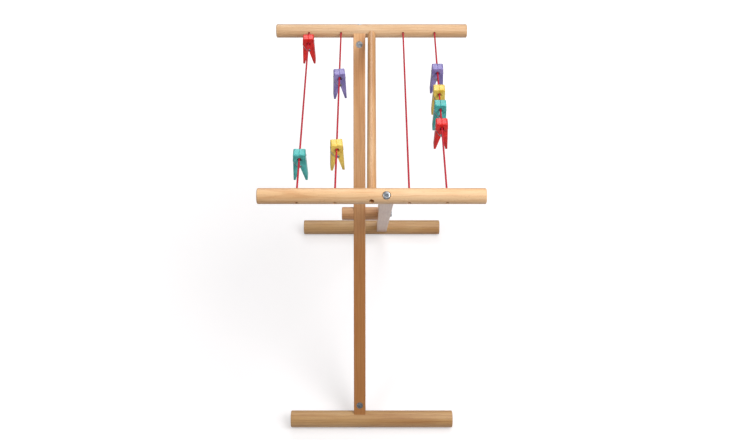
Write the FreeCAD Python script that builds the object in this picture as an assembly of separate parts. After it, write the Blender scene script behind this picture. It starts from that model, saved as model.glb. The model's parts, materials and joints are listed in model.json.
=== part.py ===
import FreeCAD, Part
import math
import os

Vec = FreeCAD.Vector

# Folding wooden clothes airer, child size. Millimetres, +Z up, feet on z = 0.
# Frame A holds the far top bar (+Y) and the near foot (-Y). Frame B is frame A
# turned half a turn about Z, so it holds the near top bar and the far foot.
# The frames cross at one pivot on the X axis direction.

# round bars
TOP_BAR_D = 20.0
TOP_BAR_LENGTH = 286.0
FOOT_D = 26.0
FOOT_LENGTH = 252.0
BAR_EDGE = 1.6

# square posts and the pivot between them
POST_SIDE = 18.0
POST_EDGE = 1.0
TOP_ARM = 276.0          # pivot to the middle of the top bar
FOOT_ARM = 323.0         # pivot to the middle of the foot
LEAN_DEG = 49.9          # post above the floor when the airer stands open
SPACER_LENGTH = 19.0
SPACER_D = 20.0
KNOB_LENGTH = 18.0
KNOB_EDGE = 1.5

# bolts, barrel nuts and the pivot's insert nut
BOLT_D = 6.0
HEAD_D = 10.0
HEAD_HEIGHT = 3.3
HEX_SOCKET = 4.0
HEX_DEPTH = 2.0
HEAD_SINK = 3.6          # bar's ridge down to the head's seat
BARREL_D = 10.0
BARREL_LENGTH = 14.0
BARREL_SINK = 0.4
BARREL_SLOT = 1.4
TOP_NUT_AT = 21.0        # middle of the top bar to the barrel nut
FOOT_NUT_AT = 24.0       # middle of the foot to the barrel nut
BOLT_PAST_NUT = 8.0
INSERT_D = 9.0
INSERT_LENGTH = 13.0

# loose strut that holds the top bars apart
STRUT_D = 12.0
SPIGOT_D = 6.6
SPIGOT_LENGTH = 9.0
STRUT_SCREW_D = 4.0
STRUT_SCREW_GRIP = 22.0
STRUT_SCREW_HEAD_D = 8.0
STRUT_SCREW_HEAD = 2.6
STRUT_SWING_DEG = 46.3   # down to its place beside frame A's post

# clothes lines
CORD_D = 2.5
CORD_X = (-93.6, -45.8, 47.0, 94.0)
CORD_TILT_DEG = 16.0     # the holes' inner mouths are the higher ones
CORD_HOLE_GAP = 0.45     # all round the line in its hole
KNOT_PROUD = 0.5         # knot past the hole's wall, all round
KNOT_LENGTH = 5.0
ARC_SHARE = 0.45

# clothes pegs, measured from the line that they sit on
PEG_TOP = 6.8
PEG_LENGTH = 44.0
PEG_DEPTH = 13.0
PEG_JAW_HALF = 8.0
PEG_TIP_HALF = 9.4
PEG_TIP = 3.0
PEG_CORNER = 1.8
NOTCH_R = 3.0
NOTCH_GAP = 0.25         # line's top to the notch's roof
COIL_BELOW = 13.0
COIL_D = 5.4
SPRING_WIRE = 1.1
SPRING_HOOK_BELOW = 3.5
HOOK_SHARE = 0.3         # how far past the middle of the depth the hook reaches
ROUND_CORNER = 2         # pipe shell mode
PEGS = (                 # name, line, Y, degrees turned about Z
    ("red_peg_1", 0, 149.0, 0.0),
    ("turquoise_peg_1", 0, -106.0, 0.0),
    ("lilac_peg_1", 1, 65.0, 6.5),
    ("yellow_peg_1", 1, -87.0, 6.0),
    ("lilac_peg_2", 3, 77.0, 0.0),
    ("yellow_peg_2", 3, 28.5, 0.0),
    ("turquoise_peg_2", 3, -5.5, 0.0),
    ("red_peg_2", 3, -44.5, 0.0),
)

# clearances
SEAT_GAP = 0.05          # wood to wood, steel to steel, in one frame
TURN_GAP = 0.1           # faces and fits that turn on each other
LOOSE_GAP = 0.3          # faces that part when the airer folds
BOLT_HOLE_GAP = 0.2

# worked out from the sizes above
LEAN = math.radians(LEAN_DEG)
HALF_TOP = TOP_ARM * math.cos(LEAN)
HALF_FOOT = FOOT_ARM * math.cos(LEAN)
PIVOT_Z = FOOT_D / 2 + FOOT_ARM * math.sin(LEAN)
TOP_Z = PIVOT_Z + TOP_ARM * math.sin(LEAN)
POST_X = (SPACER_LENGTH + POST_SIDE) / 2
TOP_R = TOP_BAR_D / 2
FOOT_R = FOOT_D / 2
TILT = math.radians(CORD_TILT_DEG)
CORD_HOLE_D = CORD_D + 2 * CORD_HOLE_GAP
KNOT_D = CORD_HOLE_D + 2 * KNOT_PROUD
X_AXIS, Y_AXIS, Z_AXIS = Vec(1, 0, 0), Vec(0, 1, 0), Vec(0, 0, 1)
ORIGIN = Vec(0, 0, 0)


def rod(diameter, length, start, along):
    return Part.makeCylinder(diameter / 2, length, start, along)


def block(x, y, z):
    """A box from three (low, high) pairs."""
    size = [high - low for low, high in (x, y, z)]
    return Part.makeBox(*size, Vec(x[0], y[0], z[0]))


def round_bar(diameter, length, edge, start, along):
    """A dowel with both end edges rounded."""
    bar = rod(diameter, length, start, along)
    ends = [e for e in bar.Edges if isinstance(e.Curve, Part.Circle)]
    return bar.makeFillet(edge, ends)


def leaned(shape):
    """From frame A's own axes, post along Z and pivot at the origin, to its place."""
    placed = shape.copy()
    placed.rotate(ORIGIN, X_AXIS, LEAN_DEG - 90)
    placed.translate(Vec(0, 0, PIVOT_Z))
    return placed


def turned(shape):
    """Frame A's piece as frame B's: half a turn about Z."""
    placed = shape.copy()
    placed.rotate(ORIGIN, Z_AXIS, 180)
    return placed


def group(shapes):
    return shapes[0] if len(shapes) == 1 else Part.makeCompound(shapes)


# ---- bolts and nuts ----------------------------------------------------------
def bolt(seat, into, length):
    """Button-head bolt: seat is under the head, into the way the shank points."""
    head = rod(HEAD_D, HEAD_HEIGHT, seat, into * -1)
    rim = [e for e in head.Edges if isinstance(e.Curve, Part.Circle)
           and (e.Curve.Center - seat).Length > HEAD_HEIGHT / 2]
    head = head.makeFillet(HEAD_HEIGHT * 0.45, rim)
    corner = HEX_SOCKET / math.sqrt(3)
    points = [Vec(corner * math.cos(math.radians(60 * i)),
                  corner * math.sin(math.radians(60 * i)), 0) for i in range(7)]
    socket = Part.Face(Part.makePolygon(points)).extrude(Z_AXIS * HEX_DEPTH)
    socket.Placement = FreeCAD.Placement(
        seat - into * HEAD_HEIGHT, FreeCAD.Rotation(Z_AXIS, into))
    shank = rod(BOLT_D, length, seat, into)
    return head.cut(socket).fuse(shank).removeSplitter()


def post_bolt(arm, bar_r, nut_at, up):
    """Bolt through a round bar into the end of the post; up is +1 at the top bar."""
    seat = Vec(-POST_X, 0, up * (arm + bar_r - HEAD_SINK))
    return bolt(seat, Z_AXIS * -up, bar_r - HEAD_SINK + nut_at + BOLT_PAST_NUT)


def barrel_place(arm, nut_at, up):
    """Middle of a barrel nut's visible end, on the post's upper face."""
    return Vec(-POST_X, -POST_SIDE / 2 + BARREL_SINK, up * (arm - nut_at))


def barrel_nut(arm, nut_at, up):
    end = barrel_place(arm, nut_at, up)
    nut = rod(BARREL_D, BARREL_LENGTH, end, Y_AXIS)
    hole = rod(BOLT_D + 2 * SEAT_GAP, 2 * BARREL_D, Vec(end.x, 0, end.z - BARREL_D), Z_AXIS)
    slot = block((end.x - BARREL_D, end.x + BARREL_D), (end.y - 1, end.y + BARREL_SLOT),
                 (end.z - BARREL_SLOT / 2, end.z + BARREL_SLOT / 2))
    return nut.cut(hole).cut(slot)


# ---- frame A in its own axes -------------------------------------------------
def post():
    half = POST_SIDE / 2
    body = block((-POST_X - half, -POST_X + half), (-half, half), (-FOOT_ARM, TOP_ARM))
    long_edges = [e for e in body.Edges if e.Length > POST_SIDE * 2]
    body = body.makeFillet(POST_EDGE, long_edges)
    through = 2 * POST_X + 2 * POST_SIDE
    for z, radius in ((TOP_ARM, TOP_R), (-FOOT_ARM, FOOT_R)):
        start = Vec(-through, 0, z)
        body = body.cut(rod(2 * (radius + SEAT_GAP), 2 * through, start, X_AXIS))
    for arm, radius, nut_at, up in ENDS:
        depth = nut_at + BOLT_PAST_NUT + BOLT_HOLE_GAP
        body = body.cut(rod(BOLT_D + 2 * BOLT_HOLE_GAP, depth, Vec(-POST_X, 0, up * arm),
                            Z_AXIS * -up))
        place = barrel_place(arm, nut_at, up) - Y_AXIS * POST_SIDE
        pocket = POST_SIDE + BARREL_LENGTH + SEAT_GAP
        body = body.cut(rod(BARREL_D + 2 * SEAT_GAP, pocket, place, Y_AXIS))
    bore = rod(BOLT_D + 2 * TURN_GAP, 2 * through, Vec(-through, 0, 0), X_AXIS)
    return body.cut(bore)


def bolted_bar(diameter, length, arm, up):
    """A top bar or a foot with its bolt hole and the sunk seat for the bolt's head."""
    radius = diameter / 2
    bar = round_bar(diameter, length, BAR_EDGE, Vec(-length / 2, 0, up * arm), X_AXIS)
    hole_start = Vec(-POST_X, 0, up * (arm - diameter))
    bar = bar.cut(rod(BOLT_D + 2 * BOLT_HOLE_GAP, 2 * diameter, hole_start, Z_AXIS * up))
    seat = Vec(-POST_X, 0, up * (arm + radius - HEAD_SINK))
    return bar.cut(rod(HEAD_D + 2 * LOOSE_GAP, diameter, seat, Z_AXIS * up))


ENDS = ((TOP_ARM, TOP_R, TOP_NUT_AT, 1), (FOOT_ARM, FOOT_R, FOOT_NUT_AT, -1))


# ---- clothes lines -----------------------------------------------------------
def hole_axis(side):
    """Outward direction of a line's hole in the bar at side = +1 (far) or -1 (near)."""
    return Vec(0, side * math.cos(TILT), -math.sin(TILT))


def bar_middle(x, side):
    return Vec(x, side * HALF_TOP, TOP_Z)


def line_holes(side, lines=CORD_X):
    """Narrow inner half and wide outer half of each line's hole through a top bar."""
    cuts = []
    for x in lines:
        middle, out = bar_middle(x, side), hole_axis(side)
        cuts.append(rod(CORD_HOLE_D, TOP_BAR_D, middle - out * TOP_BAR_D, out))
        cuts.append(rod(KNOT_D + 2 * TURN_GAP, TOP_BAR_D, middle, out))
    return cuts


def knots(side):
    """One knot per line, drawn against the step in the bar's hole."""
    shapes = []
    for x in CORD_X:
        knot = rod(KNOT_D, KNOT_LENGTH, bar_middle(x, side), hole_axis(side))
        rims = [e for e in knot.Edges if isinstance(e.Curve, Part.Circle)]
        shapes.append(knot.makeFillet(KNOT_LENGTH * 0.25, rims))
    return group(shapes)


def line_height():
    """Height of the straight stretch: the level of the holes' inner mouths."""
    return TOP_Z + TOP_R * math.sin(TILT)


def line(x):
    """One line: two short runs in the bars and the taut run between them."""
    route = [bar_middle(x, -1), bar_middle(x, -1) - hole_axis(-1) * TOP_R,
             bar_middle(x, 1) - hole_axis(1) * TOP_R, bar_middle(x, 1)]
    return tube(route, CORD_D)


def tube(route, diameter):
    """A tube along straight runs joined by tangent arcs."""
    edges, at = [], route[0]
    for before, point, after in zip(route, route[1:], route[2:]):
        back = (before - point).normalize()
        on = (after - point).normalize()
        half_turn = (math.pi - back.getAngle(on)) / 2
        reach = ARC_SHARE * min((before - point).Length, (after - point).Length)
        radius = reach / math.tan(half_turn)
        start, end = point + back * reach, point + on * reach
        to_centre = (back + on).normalize()
        middle = point + to_centre * (radius / math.cos(half_turn) - radius)
        print(f"arc radius {radius:.1f} mm")
        edges.append(Part.LineSegment(at, start).toShape())
        edges.append(Part.Arc(start, middle, end).toShape())
        at = end
    edges.append(Part.LineSegment(at, route[-1]).toShape())
    path = Part.Wire(edges)
    profile = Part.Wire(Part.makeCircle(diameter / 2, route[0], route[1] - route[0]))
    solid = path.makePipeShell([profile], True, True)
    expected = path.Length * math.pi * diameter ** 2 / 4
    print(f"line length {path.Length:.1f} mm, volume / (section x length) "
          f"{solid.Volume / expected:.4f}")
    return solid


# ---- top bars in place -------------------------------------------------------
def fan_slot():
    """Slot through the far bar in which the strut's screw swings about the bar's axis."""
    width = STRUT_SCREW_D + 2 * BOLT_HOLE_GAP
    reach = TOP_BAR_D
    half = width / 2
    swing = math.radians(STRUT_SWING_DEG)
    x = (-half, half)
    strip = block(x, (-reach, reach), (-half, half))
    swung = strip.copy()
    swung.rotate(ORIGIN, X_AXIS, STRUT_SWING_DEG)
    slot = strip.fuse(swung)
    for way in (-1, 1):
        points = [Vec(-half, 0, 0), Vec(-half, way * reach, 0),
                  Vec(-half, way * reach * math.cos(swing / 2) * 1.1,
                      way * reach * math.sin(swing / 2) * 1.1),
                  Vec(-half, way * reach * math.cos(swing), way * reach * math.sin(swing)),
                  Vec(-half, 0, 0)]
        wedge = Part.Face(Part.makePolygon(points)).extrude(X_AXIS * width)
        slot = slot.fuse(wedge)
    slot.translate(bar_middle(0, 1))
    return slot


def far_top_bar():
    bar = leaned(bolted_bar(TOP_BAR_D, TOP_BAR_LENGTH, TOP_ARM, 1))
    for cut in line_holes(1) + [fan_slot()]:
        bar = bar.cut(cut)
    return bar


def near_top_bar():
    bar = turned(leaned(bolted_bar(TOP_BAR_D, TOP_BAR_LENGTH, TOP_ARM, 1)))
    socket = rod(SPIGOT_D + 2 * BOLT_HOLE_GAP, 2 * TOP_BAR_D,
                 bar_middle(0, -1) - Y_AXIS * TOP_BAR_D, Y_AXIS)
    for cut in line_holes(-1) + [socket]:
        bar = bar.cut(cut)
    return bar


# ---- strut -------------------------------------------------------------------
def strut():
    """Dowel with a hollowed end on each bar and a spigot in the near bar's hole."""
    body = rod(STRUT_D, 2 * HALF_TOP, bar_middle(0, -1), Y_AXIS)
    across = 2 * STRUT_D
    for side, gap in ((-1, LOOSE_GAP), (1, TURN_GAP)):
        start = bar_middle(-across, side)
        body = body.cut(rod(TOP_BAR_D + 2 * gap, 2 * across, start, X_AXIS))
    spigot_end = bar_middle(0, -1) + Y_AXIS * (TOP_R - SPIGOT_LENGTH)
    body = body.fuse(rod(SPIGOT_D, 2 * SPIGOT_LENGTH, spigot_end, Y_AXIS))
    screw_end = HALF_TOP - TOP_R - STRUT_SCREW_GRIP - SEAT_GAP
    pilot = rod(STRUT_SCREW_D + 2 * SEAT_GAP, 2 * HALF_TOP, Vec(0, screw_end, TOP_Z), Y_AXIS)
    return body.cut(pilot).removeSplitter()


def strut_screw():
    seat = bar_middle(0, 1) + Y_AXIS * (TOP_R + SEAT_GAP)
    head = rod(STRUT_SCREW_HEAD_D, STRUT_SCREW_HEAD, seat, Y_AXIS)
    rim = [e for e in head.Edges if isinstance(e.Curve, Part.Circle)
           and e.Curve.Center.y > seat.y + STRUT_SCREW_HEAD / 2]
    head = head.makeFillet(STRUT_SCREW_HEAD * 0.5, rim)
    length = TOP_BAR_D + SEAT_GAP + STRUT_SCREW_GRIP
    return head.fuse(rod(STRUT_SCREW_D, length, seat, Y_AXIS * -1)).removeSplitter()


# ---- pivot -------------------------------------------------------------------
def pivot_pieces():
    """Wooden knob and spacer, the bolt through both posts and its insert nut."""
    post_face = SPACER_LENGTH / 2 + POST_SIDE
    hole = rod(BOLT_D + 2 * SEAT_GAP, 8 * POST_SIDE, Vec(-4 * POST_SIDE, 0, 0), X_AXIS)
    spacer = rod(SPACER_D, SPACER_LENGTH - TURN_GAP, Vec(-SPACER_LENGTH / 2, 0, 0), X_AXIS)
    knob = rod(SPACER_D, KNOB_LENGTH, Vec(-post_face, 0, 0), X_AXIS * -1)
    rim = [e for e in knob.Edges if isinstance(e.Curve, Part.Circle)
           and e.Curve.Center.x < -post_face - KNOB_LENGTH / 2]
    knob = knob.makeFillet(KNOB_EDGE, rim)
    blind = KNOB_LENGTH - (KNOB_LENGTH - INSERT_LENGTH) / 2
    knob = knob.cut(rod(INSERT_D + 2 * SEAT_GAP, blind, Vec(-post_face, 0, 0), X_AXIS * -1))
    insert = rod(INSERT_D, INSERT_LENGTH, Vec(-post_face, 0, 0), X_AXIS * -1)
    insert = insert.cut(hole)
    pivot_bolt = bolt(Vec(post_face + TURN_GAP, 0, 0), X_AXIS * -1,
                      2 * post_face + TURN_GAP + INSERT_LENGTH)
    pieces = {"pivot_spacer": spacer.cut(hole), "pivot_knob": knob,
              "pivot_insert_nut": insert, "pivot_bolt": pivot_bolt}
    for piece in pieces.values():
        piece.translate(Vec(0, 0, PIVOT_Z))
    return pieces


# ---- clothes pegs ------------------------------------------------------------
def notch_middle():
    return Vec(0, 0, CORD_D / 2 + NOTCH_GAP - NOTCH_R)


def coil_middle():
    return Vec(0, 0, -COIL_BELOW)


def peg_leg(side):
    """One leg about the line's own middle; side is -1 for the left leg."""
    bottom = PEG_TOP - PEG_LENGTH
    face = SEAT_GAP
    slope_top = -COIL_BELOW - COIL_D / 2
    outline = [(face, PEG_TOP), (PEG_JAW_HALF, PEG_TOP), (PEG_TIP_HALF, bottom),
               (PEG_TIP_HALF - PEG_TIP, bottom), (COIL_D / 6, slope_top),
               (face, -COIL_BELOW), (face, PEG_TOP)]
    wire = Part.makePolygon([Vec(side * x, -PEG_DEPTH / 2, z) for x, z in outline])
    leg = Part.Face(wire).extrude(Y_AXIS * PEG_DEPTH)
    corner = [e for e in leg.Edges
              if abs(e.CenterOfMass.x - side * PEG_JAW_HALF) < SEAT_GAP
              and abs(e.CenterOfMass.z - PEG_TOP) < SEAT_GAP]
    leg = leg.makeFillet(PEG_CORNER, corner)
    start = Vec(0, -PEG_DEPTH, 0)
    notch = rod(2 * NOTCH_R, 2 * PEG_DEPTH, start + notch_middle(), Y_AXIS)
    groove = rod(COIL_D + 2 * TURN_GAP, 2 * PEG_DEPTH, start + coil_middle(), Y_AXIS)
    return leg.cut(notch).cut(groove)


def outer_edge_x(z):
    """Half width of the closed peg at height z above the line."""
    share = (PEG_TOP - z) / PEG_LENGTH
    return PEG_JAW_HALF + share * (PEG_TIP_HALF - PEG_JAW_HALF)


def peg_spring():
    """Coil between the legs, with one hooked arm round the outside of each leg."""
    stand = PEG_DEPTH / 2 + SEAT_GAP + SPRING_WIRE / 2
    half_coil = stand + SPRING_WIRE / 4
    spring = rod(COIL_D, 2 * half_coil, coil_middle() - Y_AXIS * half_coil, Y_AXIS)
    hook_x = outer_edge_x(-SPRING_HOOK_BELOW) + SEAT_GAP + SPRING_WIRE / 2
    for side, end in ((-1, -1), (1, 1)):
        leave = coil_middle() + Vec(side * SPRING_WIRE, end * stand, 0)
        bend = Vec(side * hook_x, end * stand, -SPRING_HOOK_BELOW)
        tip = Vec(bend.x, -end * PEG_DEPTH * HOOK_SHARE, bend.z)
        path = Part.makePolygon([leave, bend, tip])
        profile = Part.Wire(Part.makeCircle(SPRING_WIRE / 2, leave, bend - leave))
        spring = spring.fuse(path.makePipeShell([profile], True, False, ROUND_CORNER))
    return spring


def pegs():
    """Every peg's two legs and spring at its place on its line."""
    shapes = {"left_leg": peg_leg(-1), "right_leg": peg_leg(1), "spring": peg_spring()}
    nodes = {}
    for name, line_number, y, turn in PEGS:
        for part, shape in shapes.items():
            placed = shape.copy()
            placed.rotate(ORIGIN, Z_AXIS, turn)
            placed.translate(Vec(CORD_X[line_number], y, line_height()))
            nodes[f"{name}_{part}"] = placed
    return nodes


# ---- all nodes ---------------------------------------------------------------
def fastener_groups():
    bolts = [post_bolt(arm, radius, nut_at, up) for arm, radius, nut_at, up in ENDS]
    nuts = [barrel_nut(arm, nut_at, up) for arm, radius, nut_at, up in ENDS]
    a = {"frame_a_bolts": group([leaned(s) for s in bolts]),
         "frame_a_barrel_nuts": group([leaned(s) for s in nuts])}
    b = {"frame_b_bolts": group([turned(leaned(s)) for s in bolts]),
         "frame_b_barrel_nuts": group([turned(leaned(s)) for s in nuts])}
    return {**a, **b}


def build():
    foot = leaned(bolted_bar(FOOT_D, FOOT_LENGTH, FOOT_ARM, -1))
    nodes = {
        "post_a": leaned(post()),
        "post_b": turned(leaned(post())),
        "near_foot": foot,
        "far_foot": turned(foot),
        "far_top_bar": far_top_bar(),
        "near_top_bar": near_top_bar(),
        "strut": strut(),
        "strut_screw": strut_screw(),
        "far_line_knots": knots(1),
        "near_line_knots": knots(-1),
    }
    nodes.update(fastener_groups())
    nodes.update(pivot_pieces())
    for number, x in enumerate(CORD_X, 1):
        nodes[f"clothes_line_{number}"] = line(x)
    nodes.update(pegs())
    return nodes


def main():
    os.makedirs("parts", exist_ok=True)
    nodes = build()
    for name, shape in nodes.items():
        if not shape.isValid():
            print("invalid shape:", name)
        shape.exportStep(f"parts/{name}.step")
    print(len(nodes), "nodes")
    print(f"pivot z {PIVOT_Z:.3f}, bars z {TOP_Z:.3f}, bars y {HALF_TOP:.3f}, "
          f"feet y {HALF_FOOT:.3f}, lines z {line_height():.3f}")


main()
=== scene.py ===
import bpy, bmesh, json, math
from mathutils import Matrix, Vector


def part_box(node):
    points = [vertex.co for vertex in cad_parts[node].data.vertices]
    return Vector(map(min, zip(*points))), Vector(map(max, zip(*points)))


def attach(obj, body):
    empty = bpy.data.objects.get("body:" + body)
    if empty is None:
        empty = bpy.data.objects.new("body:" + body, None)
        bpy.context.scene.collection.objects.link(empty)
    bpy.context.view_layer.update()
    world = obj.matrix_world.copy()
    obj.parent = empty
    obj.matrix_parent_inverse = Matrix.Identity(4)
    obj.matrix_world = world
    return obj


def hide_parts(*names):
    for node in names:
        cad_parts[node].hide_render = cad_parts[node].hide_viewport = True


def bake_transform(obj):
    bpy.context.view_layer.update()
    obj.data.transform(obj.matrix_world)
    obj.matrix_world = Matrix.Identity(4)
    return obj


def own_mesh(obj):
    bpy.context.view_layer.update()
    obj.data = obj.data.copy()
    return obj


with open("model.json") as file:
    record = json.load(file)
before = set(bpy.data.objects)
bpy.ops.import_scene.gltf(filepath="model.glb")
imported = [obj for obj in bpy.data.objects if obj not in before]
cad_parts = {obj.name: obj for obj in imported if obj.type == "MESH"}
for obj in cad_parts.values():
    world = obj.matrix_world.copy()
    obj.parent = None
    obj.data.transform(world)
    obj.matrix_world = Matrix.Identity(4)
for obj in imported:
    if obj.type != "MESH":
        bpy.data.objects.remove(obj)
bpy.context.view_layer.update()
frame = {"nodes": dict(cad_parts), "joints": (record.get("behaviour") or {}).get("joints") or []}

MM = 0.001


# ---- places read from the frame ----------------------------------------------
def middle_of(node):
    low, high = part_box(node)
    return (Vector(low) + Vector(high)) / 2


joints = {joint["name"]: joint for joint in frame["joints"]}
NEAR_BAR = middle_of("near_top_bar")
FAR_BAR = middle_of("far_top_bar")
PIVOT = Vector(joints["fold"]["pos_m"])
POST_LEAN = math.atan2(FAR_BAR.z - PIVOT.z, FAR_BAR.y)

# clothes lines, as they are drilled and tied
LINE_D = 2.5 * MM
LINE_X = tuple(middle_of(f"clothes_line_{number}").x for number in range(1, 5))
BAR_R = 10 * MM
HOLE_TILT = math.radians(16)
KNOT_D = 4.4 * MM
KNOT_LENGTH = 5 * MM

# clothes pegs, measured from the middle of the line they sit on
PEG_TOP = 6.8
PEG_LENGTH = 44.0
PEG_DEPTH = 13.0
PEG_JAW_HALF = 8.0
PEG_TIP_HALF = 9.4
PEG_TIP = 3.0
PEG_TIP_ROUND = 0.7
JAW_GAP = 0.05
NOTCH_R = 3.0
NOTCH_Z = -1.5
COIL_Z = -13.0
COIL_R = 2.7
WIRE_D = 0.8
HOOK_Z = -3.5
JAW_EASE = 0.5
HOOK_BED_R = 0.75
HOOK_BED_DEPTH = 0.45
GRIP_TOP = -20.0             # pressed finger grips on the handle's outer face
GRIP_BOTTOM = -33.0
GRIP_STEP = 2.2
GRIP_WIDTH = 0.9
GRIP_DEPTH = 0.3
EDGE_ROUNDING = 0.4
COIL_TURNS = 11.5
COIL_POINTS = 14             # route points to a turn
HOOK_REACH = 3.9             # how far the wire's hook lies along the jaw
HOOK_BED_OPEN = 54           # degrees of the hook's groove on each side of its middle
HOOK_BEND = 1.0
ARM_IN = 0.8                 # where the wire leaves the hook for the coil
ARM_DOWN = 0.9
COIL_GAP = 0.1
GROOVE_DROP = 0.96           # how far down the coil its groove reaches, of the radius
PEG_CORNER = 1.8
ROUNDED_FROM = 50            # degrees between faces from which an edge is rounded
SHARP_FROM = 40
LEG_RINGS = 5                # rings of the leg's mesh across its depth
PEG_NAMES = ("red_peg_1", "turquoise_peg_1", "lilac_peg_1", "yellow_peg_1",
             "lilac_peg_2", "yellow_peg_2", "turquoise_peg_2", "red_peg_2")


# ---- small mesh helpers ------------------------------------------------------
def mesh_object(name, vertices, faces, smooth=True):
    mesh = bpy.data.meshes.new(name)
    mesh.from_pydata([tuple(v) for v in vertices], [], faces)
    mesh.validate()
    if smooth:
        mesh.polygons.foreach_set("use_smooth", [True] * len(mesh.polygons))
    mesh.update()
    obj = bpy.data.objects.new(name, mesh)
    bpy.context.scene.collection.objects.link(obj)
    return obj


def apply_modifiers(obj):
    """Swaps the object's mesh for the one its modifiers make."""
    graph = bpy.context.evaluated_depsgraph_get()
    made = bpy.data.meshes.new_from_object(obj.evaluated_get(graph))
    obj.modifiers.clear()
    obj.data = made


def spline_points(points, samples=12):
    """Points along a quadratic NURBS curve with these control points."""
    curve = bpy.data.curves.new("route", "CURVE")
    curve.dimensions = "3D"
    curve.resolution_u = samples
    spline = curve.splines.new("NURBS")
    spline.points.add(len(points) - 1)
    for control, point in zip(spline.points, points):
        control.co = (*point, 1)
    spline.order_u = 3
    spline.use_endpoint_u = True
    holder = bpy.data.objects.new("route", curve)
    bpy.context.scene.collection.objects.link(holder)
    bpy.context.view_layer.update()
    graph = bpy.context.evaluated_depsgraph_get()
    mesh = bpy.data.meshes.new_from_object(holder.evaluated_get(graph))
    found = [v.co.copy() for v in mesh.vertices]
    bpy.data.objects.remove(holder)
    bpy.data.curves.remove(curve)
    bpy.data.meshes.remove(mesh)
    return found


def resampled(points, step):
    """The same path with points at even steps, ends kept."""
    lengths = [0]
    for a, b in zip(points, points[1:]):
        lengths.append(lengths[-1] + (b - a).length)
    count = max(2, round(lengths[-1] / step))
    out, k = [], 0
    for i in range(count + 1):
        s = lengths[-1] * i / count
        while k < len(points) - 2 and lengths[k + 1] < s:
            k += 1
        share = (s - lengths[k]) / (lengths[k + 1] - lengths[k])
        out.append(points[k].lerp(points[k + 1], min(max(share, 0), 1)))
    return out


def tube_rings(path, sides, radius_at):
    """Vertices and faces of a closed tube; radius_at(distance, angle) is its radius."""
    tangents = []
    for i in range(len(path)):
        a, b = path[max(i - 1, 0)], path[min(i + 1, len(path) - 1)]
        tangents.append((b - a).normalized())
    normal = tangents[0].orthogonal().normalized()
    vertices, faces, distance = [], [], 0
    for i, (point, tangent) in enumerate(zip(path, tangents)):
        if i:
            distance += (point - path[i - 1]).length
        normal = (normal - tangent * normal.dot(tangent)).normalized()
        other = tangent.cross(normal)
        for k in range(sides):
            angle = 2 * math.pi * k / sides
            way = normal * math.cos(angle) + other * math.sin(angle)
            vertices.append(point + way * radius_at(distance, angle))
    for i in range(len(path) - 1):
        for k in range(sides):
            n = (k + 1) % sides
            faces.append((i * sides + k, i * sides + n, (i + 1) * sides + n, (i + 1) * sides + k))
    faces.append(tuple(reversed(range(sides))))
    faces.append(tuple(range((len(path) - 1) * sides, len(path) * sides)))
    return vertices, faces


# ---- camera ------------------------------------------------------------------
CAMERA_ELEVATION = math.radians(45.76)
CAMERA_DISTANCE = 1.482
CAMERA_AIM = Vector((0, 0, 0.2459))
CAMERA_LENS = 46.07
CAMERA_SHIFT = 0.0045

camera_data = bpy.data.cameras.new("camera")
camera_data.lens = CAMERA_LENS
camera_data.sensor_width = 36
camera_data.shift_x = CAMERA_SHIFT
camera = bpy.data.objects.new("camera", camera_data)
bpy.context.scene.collection.objects.link(camera)
back = Vector((0, -math.cos(CAMERA_ELEVATION), math.sin(CAMERA_ELEVATION)))
camera.location = CAMERA_AIM + back * CAMERA_DISTANCE
camera.rotation_euler = (math.pi / 2 - CAMERA_ELEVATION, 0, 0)
bpy.context.scene.camera = camera


# ---- node and colour helpers -------------------------------------------------
def colour(code):
    """sRGB hex to the linear RGBA that a socket takes."""
    def linear(value):
        return value / 12.92 if value <= 0.04045 else ((value + 0.055) / 1.055) ** 2.4
    parts = [int(code[i:i + 2], 16) / 255 for i in (1, 3, 5)]
    return (*[linear(p) for p in parts], 1)


def add(tree, kind, inputs=None, **settings):
    """Adds a node; inputs maps a socket's name or number to a value or to a socket."""
    node = tree.nodes.new(kind)
    for key, value in settings.items():
        setattr(node, key, value)
    for key, value in (inputs or {}).items():
        if isinstance(value, bpy.types.NodeSocket):
            tree.links.new(value, node.inputs[key])
        else:
            node.inputs[key].default_value = value
    return node


def new_material(name):
    """An empty material with its tree, shader and output."""
    material = bpy.data.materials.new(name)
    material.use_nodes = True
    tree = material.node_tree
    tree.nodes.clear()
    shader = add(tree, "ShaderNodeBsdfPrincipled")
    add(tree, "ShaderNodeOutputMaterial", {"Surface": shader.outputs[0]})
    return material, tree, shader


def ramp(tree, factor, stops):
    """Colour ramp from (position, hex) pairs."""
    node = add(tree, "ShaderNodeValToRGB", {"Fac": factor})
    while len(node.color_ramp.elements) < len(stops):
        node.color_ramp.elements.new(1)
    for element, (position, code) in zip(node.color_ramp.elements, stops):
        element.position = position
        element.color = colour(code)
    return node.outputs["Color"]


def spread(tree, factor, low, high, to_low=0.0, to_high=1.0):
    """Stretches part of a factor's range, clamped."""
    return add(tree, "ShaderNodeMapRange", {"Value": factor, "From Min": low, "From Max": high,
                                            "To Min": to_low, "To Max": to_high}).outputs[0]


def mixed(tree, factor, a, b, mode="MIX"):
    node = add(tree, "ShaderNodeMix", data_type="RGBA", blend_type=mode, clamp_factor=True)
    for number, value in ((0, factor), (6, a), (7, b)):
        if isinstance(value, bpy.types.NodeSocket):
            tree.links.new(value, node.inputs[number])
        else:
            node.inputs[number].default_value = value
    return node.outputs[2]


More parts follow.
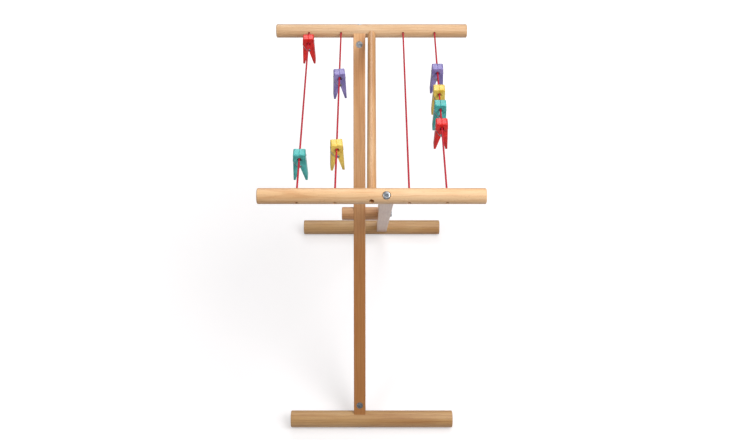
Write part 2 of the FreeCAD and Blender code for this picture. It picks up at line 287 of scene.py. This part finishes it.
# ---- materials ---------------------------------------------------------------
# beech: the width of each figure across the grain, and how many times as long it is
RING_WIDTH = 4.5 * MM        # growth rings as flat-sawn beech shows them
FIBRE_WIDTH = 0.55 * MM      # drawn coarser than real fibres, which wouldn't show
FIBRE_STRETCH = 55
RAY_WIDTH = 0.5 * MM
RAY_STRETCH = 7
TONE_WIDTH = 30 * MM
TONE_STRETCH = 5
WANDER_WIDTH = 14 * MM       # how the rings sway along the piece
WANDER_STRETCH = 9
WANDER_RINGS = 2.2
RING_TAPER = 0.012
RING_DEPTH = 0.30            # how strongly each figure darkens the wood
FIBRE_DEPTH = 0.34
RAY_DEPTH = 0.42
RAY_BROWN = "#7a4a2a"
# share of the painted shade colour at the lowest part of post a
LOWER_SHADE_SHARE = 0.9
PITH = (0.055, 0.021, 0)     # the tree's middle, seen from the middle of the piece

# lacquer, steel and braid: noise cells to a millimetre
PEG_GRAIN_ACROSS = 0.9 / MM
PEG_GRAIN_ALONG = 0.045 / MM
PEG_CLOUDS = 0.09 / MM
STEEL_SPECKS = 1.4 / MM
STEEL_STAINS = 0.26 / MM
BRAID_THREADS = 2.6 / MM


def beech(name, light, middle, dark, turn, seed, roughness=0.42, lower_painted_shade=None, coat=0.4):
    """Lacquered beech: pale, fine straight grain, soft growth rings and the short
    dark dashes of its rays. turn is the rotation that brings the grain onto Z. The
    shade argument is (colour, low, high): from height high down to low the wood is
    painted darker towards that colour, a painted shade for a post's lower part."""
    material, tree, shader = new_material(name)
    place = add(tree, "ShaderNodeTexCoord").outputs["Object"]
    grain = add(tree, "ShaderNodeMapping", {"Vector": place, "Rotation": turn,
                                            "Location": (seed, seed * 0.7, seed * 1.3)})

    def stretched(width, stretch, detail, offset=0.0):
        size = 1 / width
        scaled = add(tree, "ShaderNodeMapping", {"Vector": grain.outputs[0],
                                                 "Location": (offset, offset, offset),
                                                 "Scale": (size, size, size / stretch)})
        return add(tree, "ShaderNodeTexNoise", {"Vector": scaled.outputs[0], "Scale": 1.0,
                                                "Detail": detail,
                                                "Roughness": 0.6}).outputs["Fac"]

    tone = stretched(TONE_WIDTH, TONE_STRETCH, 2)
    wander = stretched(WANDER_WIDTH, WANDER_STRETCH, 2, offset=3.1)
    fibre = stretched(FIBRE_WIDTH, FIBRE_STRETCH, 3, offset=7.7)
    dashes = stretched(RAY_WIDTH, RAY_STRETCH, 1, offset=1.9)
    ring_place = add(tree, "ShaderNodeMapping", {"Vector": grain.outputs[0],
                                                 "Location": PITH, "Scale": (1, 1, RING_TAPER)})
    from_pith = add(tree, "ShaderNodeVectorMath", {"Vector": ring_place.outputs[0]},
                    operation="LENGTH").outputs["Value"]
    grown = add(tree, "ShaderNodeMath", {0: from_pith, 1: 1 / RING_WIDTH}, operation="MULTIPLY")
    bent = add(tree, "ShaderNodeMath", {0: wander, 1: WANDER_RINGS, 2: grown.outputs[0]},
               operation="MULTIPLY_ADD")
    rising = add(tree, "ShaderNodeMath", {0: bent.outputs[0]}, operation="FRACT").outputs[0]
    ring = ramp(tree, rising, ((0.0, "#000000"), (0.62, "#3a3a3a"), (0.9, "#ffffff"),
                               (1.0, "#000000")))
    body = ramp(tree, tone, ((0.3, light), (0.52, middle), (0.75, dark)))
    # painted shade: the wood darkens towards the floor, standing in for the shade on the post's
    # lower part
    if lower_painted_shade:
        shade_brown, low, high = lower_painted_shade
        height = add(tree, "ShaderNodeSeparateXYZ", {"Vector": place}).outputs["Z"]
        share = spread(tree, height, low, high, LOWER_SHADE_SHARE, 0.0)
        body = mixed(tree, share, body, colour(shade_brown))
    ringed = mixed(tree, spread(tree, ring, 0, 1, 0.0, RING_DEPTH), body, colour(dark),
                   "MULTIPLY")
    fine = mixed(tree, spread(tree, fibre, 0.38, 0.66, 0.0, FIBRE_DEPTH), ringed, colour(dark),
                 "MULTIPLY")
    ray = spread(tree, dashes, 0.66, 0.74, 0.0, RAY_DEPTH)
    finished = mixed(tree, ray, fine, colour(RAY_BROWN))
    gloss = spread(tree, fibre, 0.3, 0.7, roughness - 0.05, roughness + 0.08)
    bump = add(tree, "ShaderNodeBump", {"Height": fibre, "Strength": 0.16,
                                        "Distance": 0.05 * MM})
    for key, value in (("Base Color", finished), ("Roughness", gloss),
                       ("Normal", bump.outputs[0])):
        tree.links.new(value, shader.inputs[key])
    shader.inputs["Coat Weight"].default_value = coat
    shader.inputs["Coat Roughness"].default_value = 0.32
    shader.inputs["IOR"].default_value = 1.5
    return material


def lacquered_peg(name, light, deep, seed):
    """Beech dipped in coloured lacquer: even colour, faint grain under it, paler on
    the corners where the film is thin."""
    material, tree, shader = new_material(name)
    place = add(tree, "ShaderNodeTexCoord").outputs["Object"]
    scaled = add(tree, "ShaderNodeMapping", {"Vector": place, "Location": (seed, seed, 0),
                                             "Scale": (PEG_GRAIN_ACROSS, PEG_GRAIN_ACROSS,
                                                       PEG_GRAIN_ALONG)})
    grain = add(tree, "ShaderNodeTexNoise", {"Vector": scaled.outputs[0], "Scale": 1.0,
                                             "Detail": 3.0}).outputs["Fac"]
    cloud = add(tree, "ShaderNodeTexNoise", {"Vector": place, "Scale": PEG_CLOUDS,
                                             "Detail": 2.0}).outputs["Fac"]
    body = mixed(tree, spread(tree, cloud, 0.35, 0.65), colour(deep), colour(light))
    grained = mixed(tree, spread(tree, grain, 0.5, 0.75, 0.0, 0.35), body, colour(deep),
                    "MULTIPLY")
    edge = add(tree, "ShaderNodeNewGeometry").outputs["Pointiness"]
    worn = mixed(tree, spread(tree, edge, 0.53, 0.62, 0.0, 0.25), grained, colour(light))
    bump = add(tree, "ShaderNodeBump", {"Height": grain, "Strength": 0.12,
                                        "Distance": 0.06 * MM})
    gloss = spread(tree, cloud, 0.3, 0.7, 0.30, 0.40)
    for key, value in (("Base Color", worn), ("Roughness", gloss),
                       ("Normal", bump.outputs[0])):
        tree.links.new(value, shader.inputs[key])
    shader.inputs["Coat Weight"].default_value = 0.2
    shader.inputs["Coat Roughness"].default_value = 0.2
    return material


def zinc_plated_steel(name, light, dark, rough):
    """Bright zinc on turned steel: bluish grey, with fine specks and soft stains."""
    material, tree, shader = new_material(name)
    place = add(tree, "ShaderNodeTexCoord").outputs["Object"]
    specks = add(tree, "ShaderNodeTexNoise", {"Vector": place, "Scale": STEEL_SPECKS,
                                              "Detail": 3.0}).outputs["Fac"]
    stains = add(tree, "ShaderNodeTexNoise", {"Vector": place, "Scale": STEEL_STAINS,
                                              "Detail": 2.0}).outputs["Fac"]
    body = ramp(tree, stains, ((0.35, dark), (0.6, light)))
    gloss = spread(tree, specks, 0.3, 0.7, rough - 0.06, rough + 0.1)
    bump = add(tree, "ShaderNodeBump", {"Height": specks, "Strength": 0.1,
                                        "Distance": 0.02 * MM})
    for key, value in (("Base Color", body), ("Roughness", gloss),
                       ("Normal", bump.outputs[0])):
        tree.links.new(value, shader.inputs[key])
    shader.inputs["Metallic"].default_value = 1.0
    return material


def braided_polyester(name, light, deep):
    """Dyed filament braid: many fine threads, a dry sheen, and painted shade in its hollows."""
    material, tree, shader = new_material(name)
    place = add(tree, "ShaderNodeTexCoord").outputs["Object"]
    threads = add(tree, "ShaderNodeTexNoise", {"Vector": place, "Scale": BRAID_THREADS,
                                               "Detail": 2.0}).outputs["Fac"]
    # painted shade: the braid's hollows, found by low pointiness, are darkened as if shade falls
    # into them
    hollow_shade_mask = add(tree, "ShaderNodeNewGeometry").outputs["Pointiness"]
    body = mixed(tree, spread(tree, threads, 0.35, 0.65), colour(deep), colour(light))
    shaded = mixed(tree, spread(tree, hollow_shade_mask, 0.42, 0.5, 0.5, 0.0), body, colour(deep),
                   "MULTIPLY")
    bump = add(tree, "ShaderNodeBump", {"Height": threads, "Strength": 0.3,
                                        "Distance": 0.05 * MM})
    tree.links.new(shaded, shader.inputs["Base Color"])
    tree.links.new(bump.outputs[0], shader.inputs["Normal"])
    shader.inputs["Roughness"].default_value = 0.62
    shader.inputs["Sheen Weight"].default_value = 0.04
    shader.inputs["Sheen Roughness"].default_value = 0.4
    return material


GRAIN_X = (0, math.pi / 2, 0)
GRAIN_Y = (math.pi / 2, 0, 0)
GRAIN_A = (math.pi / 2 - POST_LEAN, 0, 0)
GRAIN_B = (POST_LEAN - math.pi / 2, 0, 0)

bar_beech = beech("lacquered_beech_bar", "#efcda3", "#e8bf8f", "#d5a470", GRAIN_X, 0.0, coat=0.15)
# the far bar is the near bar's beech painted darker, a painted shade offsetting the stronger lamp
# light it gets
far_bar_shaded_beech = beech("lacquered_beech_far_bar_painted_shade", "#e8c8a2", "#deb78a", "#c89c6e", GRAIN_X, 2.3)
foot_beech = beech("lacquered_beech_foot", "#d4b07e", "#ca9f68", "#b78550", GRAIN_X, 4.1)
# post a carries painted shade on its lower part, below the near bar, where the real post lies in
# shade
post_a_beech = beech("lacquered_beech_post_a", "#f2ca9c", "#eabb88", "#d29a66", GRAIN_A, 5.7,
                     roughness=0.36, lower_painted_shade=("#b0763d", 0.22, 0.40))
# post b is painted paler than post a, a painted light on its face seen at a grazing angle
post_b_lit_beech = beech("lacquered_beech_post_b_painted_light", "#f7d8bc", "#edc8a8", "#d6a885", GRAIN_B, 8.2,
                     roughness=0.34, coat=1.0)
strut_beech = beech("lacquered_beech_strut", "#dbb384", "#d1a26f", "#bb8653", GRAIN_Y, 9.4)
pivot_beech = beech("lacquered_beech_pivot", "#e2b484", "#d39e6c", "#b98150", GRAIN_X, 11.8)
steel = zinc_plated_steel("zinc_plated_steel", "#cfd3d8", "#9ba2aa", 0.32)
wire_steel = zinc_plated_steel("burnished_spring_wire", "#c4c6ca", "#9fa2a7", 0.48)
brass = zinc_plated_steel("turned_brass", "#d8b062", "#b88f45", 0.3)
line_braid = braided_polyester("red_polyester_braid", "#d20a2e", "#90061e")
PEG_LACQUERS = {
    "red": lacquered_peg("red_lacquered_beech", "#f01806", "#c60404", 1.0),
    "turquoise": lacquered_peg("turquoise_lacquered_beech", "#50bcb9", "#2c9c97", 2.0),
    "lilac": lacquered_peg("lilac_lacquered_beech", "#9488c4", "#746aa8", 3.0),
    "yellow": lacquered_peg("yellow_lacquered_beech", "#f2d566", "#dcb840", 4.0),
}


def finish(node, material):
    """A CAD node keeps its mesh and takes this material."""
    data = frame["nodes"][node].data
    data.materials.clear()
    data.materials.append(material)


for node, material in (
        ("near_top_bar", bar_beech), ("far_top_bar", far_bar_shaded_beech),
        ("near_foot", foot_beech), ("far_foot", foot_beech),
        ("post_a", post_a_beech), ("post_b", post_b_lit_beech), ("strut", strut_beech),
        ("pivot_spacer", pivot_beech), ("pivot_knob", pivot_beech),
        ("frame_a_bolts", steel), ("frame_b_bolts", steel), ("pivot_bolt", steel),
        ("frame_a_barrel_nuts", steel), ("frame_b_barrel_nuts", steel),
        ("strut_screw", steel), ("pivot_insert_nut", brass)):
    finish(node, material)


# ---- clothes lines -----------------------------------------------------------
LINE_STEP = 0.45 * MM        # from ring to ring of the mesh
LINE_SIDES = 20
KNOT_STEP = 0.2 * MM
KNOT_SIDES = 56
BRAID_STRANDS = 6
BRAID_PITCH = 3.2 * MM       # length along the line in which a strand moves one place
BRAID_DEPTH = 0.11


def braid_radius(diameter):
    """Radius of a round braid: low diamonds where the strands cross."""
    def radius(distance, angle):
        around = BRAID_STRANDS * angle
        along = 2 * math.pi * distance / BRAID_PITCH
        bump = math.cos((around + along) / 2) ** 2 * math.cos((around - along) / 2) ** 2
        return diameter / 2 * (1 - BRAID_DEPTH * (1 - 2 * bump))
    return radius


def line_route(x):
    """From the knot in the near bar to the knot in the far bar. The straight stretch
    has one extra point near each bar, as far from the hole's mouth as the knot is."""
    rise = BAR_R * math.sin(HOLE_TILT)
    out = BAR_R * math.cos(HOLE_TILT)
    near = Vector((x, NEAR_BAR.y, NEAR_BAR.z))
    far = Vector((x, FAR_BAR.y, FAR_BAR.z))
    return [near, near + Vector((0, out, rise)), near + Vector((0, out + BAR_R, rise)),
            far + Vector((0, -out - BAR_R, rise)), far + Vector((0, -out, rise)), far]


def clothes_line(number, x):
    route = spline_points(line_route(x), 16)
    path = resampled(route, LINE_STEP)
    vertices, faces = tube_rings(path, LINE_SIDES, braid_radius(LINE_D))
    cord = mesh_object(f"clothes_line_{number}_braid", vertices, faces)
    cord.data.materials.append(line_braid)
    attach(cord, "frame_a")
    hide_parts(f"clothes_line_{number}")
    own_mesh(cord)


for number, x in enumerate(LINE_X, 1):
    clothes_line(number, x)


# ---- stopper knots -----------------------------------------------------------
KNOT_WRAPS = 2
WRAP_DEPTH = 0.09            # depths and the waist are shares of the knot's radius
KNOT_STRANDS = 14
STRAND_TWIST = 40
STRAND_DEPTH = 0.02
KNOT_WAIST = 0.9
KNOT_END = 0.08              # keeps the knot's ends from closing to a point


def stopper_knots(side, body):
    """The four lines' knots in one top bar: two wraps of the braid, pulled tight."""
    bar = FAR_BAR if side > 0 else NEAR_BAR
    out = Vector((0, side * math.cos(HOLE_TILT), -math.sin(HOLE_TILT)))
    vertices, faces = [], []
    for x in LINE_X:
        start = Vector((x, bar.y, bar.z))
        path = resampled([start, start + out * KNOT_LENGTH], KNOT_STEP)

        def radius(distance, angle):
            share = distance / KNOT_LENGTH
            wraps = math.cos(2 * math.pi * KNOT_WRAPS * share + angle) * WRAP_DEPTH
            around, along = KNOT_STRANDS * angle, STRAND_TWIST * share
            braid = math.cos(around + along) * math.cos(around - along) * STRAND_DEPTH
            dome = math.sqrt(max(KNOT_END, 1 - abs(2 * share - 1) ** 3))
            return KNOT_D / 2 * dome * (KNOT_WAIST + wraps + braid)

        ring_vertices, ring_faces = tube_rings(path, KNOT_SIDES, radius)
        base = len(vertices)
        vertices += ring_vertices
        faces += [tuple(base + v for v in face) for face in ring_faces]
    name = "far_line_knots" if side > 0 else "near_line_knots"
    knots = mesh_object(name + "_tied", vertices, faces)
    knots.data.materials.append(line_braid)
    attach(knots, body)
    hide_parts(name)


stopper_knots(1, "frame_a")
stopper_knots(-1, "frame_b")


# ---- clothes pegs ------------------------------------------------------------
def arc(centre_x, centre_z, radius, start, end, steps):
    """Points on an arc, angles in degrees from +X towards +Z."""
    points = []
    for i in range(steps + 1):
        angle = math.radians(start + (end - start) * i / steps)
        points.append((centre_x + radius * math.cos(angle), centre_z + radius * math.sin(angle)))
    return points


def outer_edge_x(z):
    share = (PEG_TOP - z) / PEG_LENGTH
    return PEG_JAW_HALF + share * (PEG_TIP_HALF - PEG_JAW_HALF)


def leg_outline():
    """The right leg seen from the front, inner top corner first, clockwise."""
    bottom = PEG_TOP - PEG_LENGTH
    corner = PEG_CORNER
    points = [(JAW_GAP, PEG_TOP - JAW_EASE), (JAW_GAP + JAW_EASE, PEG_TOP)]
    points += arc(PEG_JAW_HALF - corner, PEG_TOP - corner, corner, 90, 0, 5)
    hook_x = outer_edge_x(HOOK_Z)
    points += arc(hook_x + HOOK_BED_R - HOOK_BED_DEPTH, HOOK_Z, HOOK_BED_R,
                  180 - HOOK_BED_OPEN, 180 + HOOK_BED_OPEN, 5)
    grip = GRIP_TOP
    while grip > GRIP_BOTTOM:
        x = outer_edge_x(grip)
        points += [(x, grip), (x - GRIP_DEPTH, grip - GRIP_WIDTH / 2), (x, grip - GRIP_WIDTH)]
        grip -= GRIP_STEP
    tip_r = PEG_TIP_ROUND
    points += arc(PEG_TIP_HALF - tip_r, bottom + tip_r, tip_r, 0, -90, 4)
    points += arc(PEG_TIP_HALF - PEG_TIP + tip_r, bottom + tip_r, tip_r, -90, -180, 4)
    groove_end = math.degrees(math.asin(-GROOVE_DROP))
    points += arc(0, COIL_Z, COIL_R + COIL_GAP, groove_end, 88, 9)
    lip = math.degrees(math.acos(JAW_GAP / NOTCH_R))
    points += arc(0, NOTCH_Z, NOTCH_R, -lip, lip, 14)
    return points


def peg_place(name):
    """From the peg's own axes, in millimetres about its line, to its place on the line."""
    low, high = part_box(name + "_left_leg")
    far_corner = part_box(name + "_right_leg")[1]
    middle = Vector(((low.x + far_corner.x) / 2, (low.y + far_corner.y) / 2,
                     high.z - PEG_TOP * MM))
    coil = joints[name + "_squeeze"]["axis"]
    turn = math.atan2(-coil[0], coil[1])
    return Matrix.Translation(middle) @ Matrix.Rotation(turn, 4, "Z") @ Matrix.Scale(MM, 4)


def peg_leg(name, side, body):
    place = peg_place(name)
    outline = [(side * x, z) for x, z in leg_outline()]
    if side < 0:
        outline.reverse()
    vertices = []
    for ring in range(LEG_RINGS):
        y = PEG_DEPTH * (ring / (LEG_RINGS - 1) - 0.5)
        vertices += [place @ Vector((x, y, z)) for x, z in outline]
    count = len(outline)
    faces = []
    for ring in range(LEG_RINGS - 1):
        for k in range(count):
            n = (k + 1) % count
            faces.append((ring * count + k, ring * count + n,
                          (ring + 1) * count + n, (ring + 1) * count + k))
    faces.append(tuple(reversed(range(count))))
    faces.append(tuple(range((LEG_RINGS - 1) * count, LEG_RINGS * count)))
    word = "left" if side < 0 else "right"
    leg = mesh_object(f"{name}_{word}_leg_shaped", vertices, faces)
    shape = bmesh.new()
    shape.from_mesh(leg.data)
    bmesh.ops.recalc_face_normals(shape, faces=shape.faces)
    shape.to_mesh(leg.data)
    shape.free()
    rounding = leg.modifiers.new("rounded edges", "BEVEL")
    rounding.width = EDGE_ROUNDING * MM
    rounding.segments = 3
    rounding.limit_method = "ANGLE"
    rounding.angle_limit = math.radians(ROUNDED_FROM)
    apply_modifiers(leg)
    leg.data.set_sharp_from_angle(angle=math.radians(SHARP_FROM))
    leg.data.materials.append(PEG_LACQUERS[name.split("_")[0]])
    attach(leg, body)
    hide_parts(f"{name}_{word}_leg")


def spring_route():
    """Wire from the left hook, through the coil, to the right hook, in millimetres."""
    stand = PEG_DEPTH / 2 + JAW_GAP + WIRE_D / 2
    hook_x = outer_edge_x(HOOK_Z) - HOOK_BED_DEPTH + WIRE_D / 2 + JAW_GAP
    turn_r = COIL_R - WIRE_D / 2
    left = [Vector((-hook_x, HOOK_REACH, HOOK_Z)), Vector((-hook_x, -stand + HOOK_BEND, HOOK_Z)),
            Vector((-hook_x, -stand, HOOK_Z)),
            Vector((-hook_x + ARM_IN, -stand, HOOK_Z - ARM_DOWN))]
    coil = []
    for i in range(int(COIL_TURNS * COIL_POINTS) + 1):
        angle = math.pi - 2 * math.pi * i / COIL_POINTS
        y = -stand + 2 * stand * i / (COIL_TURNS * COIL_POINTS)
        coil.append(Vector((turn_r * math.cos(angle), y, COIL_Z + turn_r * math.sin(angle))))
    right = [Vector((-v.x, -v.y, v.z)) for v in reversed(left)]
    return left + coil + right


def peg_spring(name):
    place = peg_place(name)
    path = spline_points([place @ point for point in spring_route()], 4)
    vertices, faces = tube_rings(path, 8, lambda distance, angle: WIRE_D / 2 * MM)
    spring = mesh_object(f"{name}_spring_wound", vertices, faces)
    spring.data.materials.append(wire_steel)
    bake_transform(spring)
    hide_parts(f"{name}_spring")


for name in PEG_NAMES:
    peg_leg(name, -1, name)
    peg_leg(name, 1, f"{name}_jaw")
    peg_spring(name)


# ---- floor and light ---------------------------------------------------------
def soft_box(name, place, aim, width, depth, power):
    """A large rectangular light that points at aim."""
    data = bpy.data.lights.new(name, "AREA")
    data.shape = "RECTANGLE"
    data.size, data.size_y = width, depth
    data.energy = power
    light = bpy.data.objects.new(name, data)
    bpy.context.scene.collection.objects.link(light)
    light.location = place
    light.rotation_euler = (Vector(aim) - Vector(place)).to_track_quat("-Z", "Y").to_euler()


PAPER_LIFT = 0.46            # the paper is lit by itself as well, so it shows white
FAR_PAPER_LIFT = 0.76        # and more where the lamps fall off
LIFT_RISES_FROM = 0.25       # metres from the middle of the floor
LIFT_RISES_TO = 0.95
FLOOR_HALF = 4
floor = mesh_object("floor", [(-FLOOR_HALF, -FLOOR_HALF, 0), (FLOOR_HALF, -FLOOR_HALF, 0),
                             (FLOOR_HALF, FLOOR_HALF, 0), (-FLOOR_HALF, FLOOR_HALF, 0)],
                    [(0, 1, 2, 3)])
floor_paint, floor_tree, floor_shader = new_material("matt_white_paper")
floor_shader.inputs["Base Color"].default_value = colour("#d0cdce")
floor_shader.inputs["Roughness"].default_value = 0.95
floor_shader.inputs["Specular IOR Level"].default_value = 0.0
seen = add(floor_tree, "ShaderNodeLightPath").outputs["Is Camera Ray"]
spot = add(floor_tree, "ShaderNodeTexCoord").outputs["Object"]
away = add(floor_tree, "ShaderNodeVectorMath", {"Vector": spot}, operation="LENGTH")
glow = spread(floor_tree, away.outputs["Value"], LIFT_RISES_FROM, LIFT_RISES_TO,
              PAPER_LIFT, FAR_PAPER_LIFT)
lift = add(floor_tree, "ShaderNodeMath", {0: seen, 1: glow}, operation="MULTIPLY")
floor_shader.inputs["Emission Color"].default_value = colour("#ffffff")
floor_tree.links.new(lift.outputs[0], floor_shader.inputs["Emission Strength"])
floor.data.materials.append(floor_paint)

soft_box("overhead", (0.3, 0.2, 1.45), (0, 0, 0.35), 0.9, 0.8, 5)
soft_box("back", (-0.1, 1.9, 1.9), (0, 0, 0.35), 1.3, 0.7, 12)
soft_box("right", (0.78, -0.6, 1.35), (0, 0, 0.3), 1.0, 0.9, 15)
soft_box("left", (-0.9, -0.6, 1.35), (0, 0, 0.3), 0.7, 0.6, 5)

world = bpy.data.worlds.new("studio")
world.use_nodes = True
world.node_tree.nodes["Background"].inputs["Color"].default_value = colour("#ffffff")
world.node_tree.nodes["Background"].inputs["Strength"].default_value = 0.15
bpy.context.scene.world = world
bpy.context.scene.view_settings.view_transform = "Standard"
